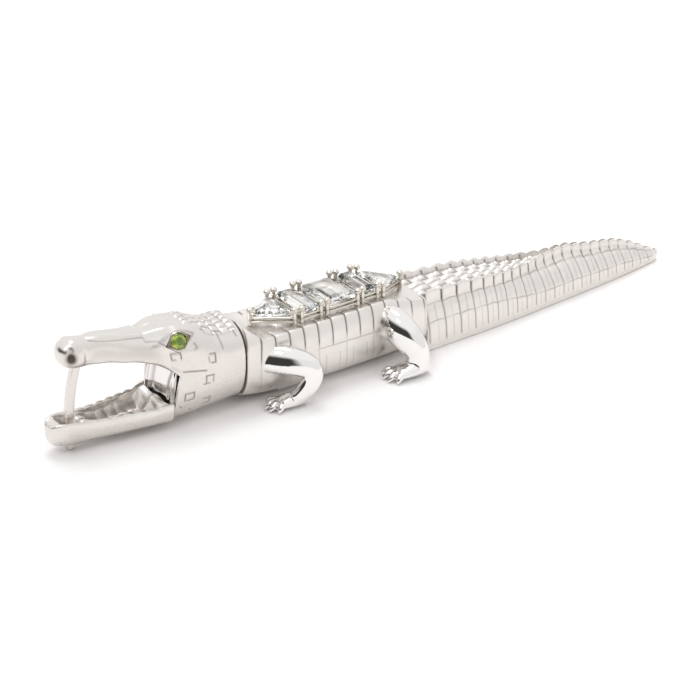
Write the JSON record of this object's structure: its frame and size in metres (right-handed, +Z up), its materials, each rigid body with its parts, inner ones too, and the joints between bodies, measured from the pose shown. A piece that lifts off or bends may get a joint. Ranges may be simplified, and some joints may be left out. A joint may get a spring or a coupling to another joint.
{
  "type": "alligator hair clip",
  "caption": "Alligator-shaped hair clip in white metal: a hinged lower jaw closes up to the snout along a curved bar, with step-cut clear stones on the back and green eyes.",
  "frame": {"origin": "middle of the outline in plan, on the surface the clip stands on", "axes": "+X from the head to the tail tip, +Z up, so the animal's left side is -Y"},
  "size_m": [0.0956, 0.0204, 0.0148],
  "materials": {
    "satin_metal": "bright white precious metal, softly polished, with engraved scales",
    "polished_metal": "mirror-polished white precious metal",
    "clear_stone": "clear step-cut stone",
    "green_stone": "green faceted stone"
  },
  "bodies": {
    "body": {"head_casting": "satin_metal", "torso_casting": "satin_metal", "belly_plate": "satin_metal", "tail_casting": "satin_metal", "tail_base_plate": "satin_metal", "front_left_leg": "polished_metal", "front_right_leg": "polished_metal", "hind_left_leg": "polished_metal", "hind_right_leg": "polished_metal", "jaw_pivot_pin": "polished_metal", "jaw_back_spring": "polished_metal", "spring_rivet": "satin_metal", "retainer_bar": "polished_metal", "left_eye_stone": "green_stone", "right_eye_stone": "green_stone", "left_eye_collet": "satin_metal", "right_eye_collet": "satin_metal", "front_triangle": "clear_stone", "front_baguette": "clear_stone", "centre_stone": "clear_stone", "rear_baguette": "clear_stone", "rear_triangle": "clear_stone", "front_triangle_setting": "satin_metal", "front_baguette_setting": "satin_metal", "centre_stone_setting": "satin_metal", "rear_baguette_setting": "satin_metal", "rear_triangle_setting": "satin_metal"},
    "lower_jaw": {"lower_jaw": "satin_metal", "jaw_arm": "polished_metal"}
  },
  "joints": [
    {"name": "jaw_hinge", "type": "hinge", "parent": "body", "child": "lower_jaw", "pos_m": [-0.0184, 0, 0.0026], "axis": [0, 1, 0], "range_deg": [0, 13.5]}
  ]
}
